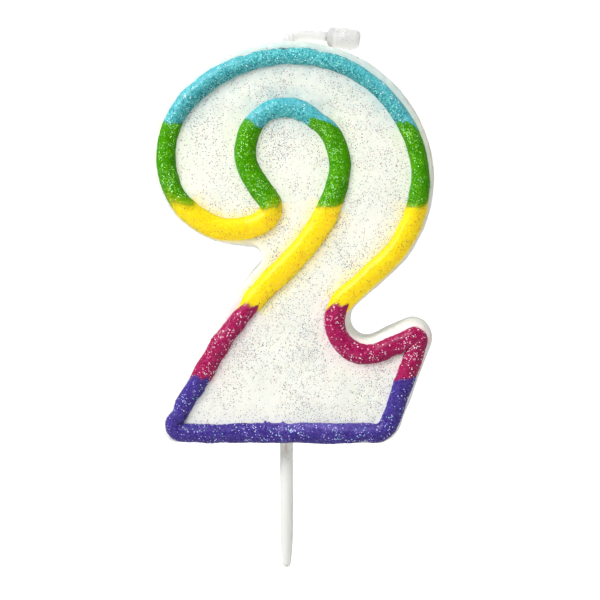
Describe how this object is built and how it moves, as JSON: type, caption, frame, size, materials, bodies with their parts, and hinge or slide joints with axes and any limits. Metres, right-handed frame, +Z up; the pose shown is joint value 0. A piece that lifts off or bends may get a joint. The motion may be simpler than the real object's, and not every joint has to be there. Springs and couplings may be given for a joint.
{
  "type": "number birthday candle",
  "caption": "Flat moulded wax numeral with a raised rainbow bead outline, a bent dipped wick on top and a tapered cake pick below.",
  "frame": {"origin": "on the pick's axis, in the plane of the wax's level base, where the pick leaves the wax", "axes": "+Z up the numeral, +X to the reader's right, -Y out of the beaded front"},
  "size_m": [0.0527, 0.0113, 0.1011],
  "materials": {
    "white_wax": "satin translucent paraffin wax with fine dark and silver glitter",
    "turquoise_wax": "satin dyed paraffin wax with silver glitter",
    "green_wax": "satin dyed paraffin wax with silver glitter",
    "yellow_wax": "satin dyed paraffin wax, nearly free of glitter",
    "magenta_wax": "satin dyed paraffin wax with silver glitter",
    "purple_wax": "satin dyed paraffin wax with silver glitter",
    "cotton": "braided cotton, wax soaked",
    "wick_wax": "satin translucent paraffin wax",
    "pick_plastic": "moulded polypropylene, satin"
  },
  "bodies": {
    "candle": {"wax_numeral": "white_wax", "purple_base_bead": "purple_wax", "magenta_left_bead": "magenta_wax", "magenta_flag_bead": "magenta_wax", "yellow_lobe_bead": "yellow_wax", "yellow_inner_bead": "yellow_wax", "yellow_outer_bead": "yellow_wax", "green_outer_left_bead": "green_wax", "green_inner_left_bead": "green_wax", "green_inner_right_bead": "green_wax", "green_outer_right_bead": "green_wax", "turquoise_inner_bead": "turquoise_wax", "turquoise_outer_bead": "turquoise_wax", "cake_pick": "pick_plastic", "wick_braid_in_wax": "cotton", "wick_bend_braid": "cotton", "wick_bend_coat": "wick_wax"},
    "wick": {"wick_tip_braid": "cotton", "wick_tip_coat": "wick_wax", "wick_dipped_end": "wick_wax"}
  },
  "joints": [
    {"name": "wick_fold", "type": "hinge", "parent": "candle", "child": "wick", "pos_m": [0.00079, 0, 0.07478], "axis": [0, -1, 0], "range_deg": [0, 80], "deforming": ["wick_bend_braid", "wick_bend_coat"]}
  ]
}
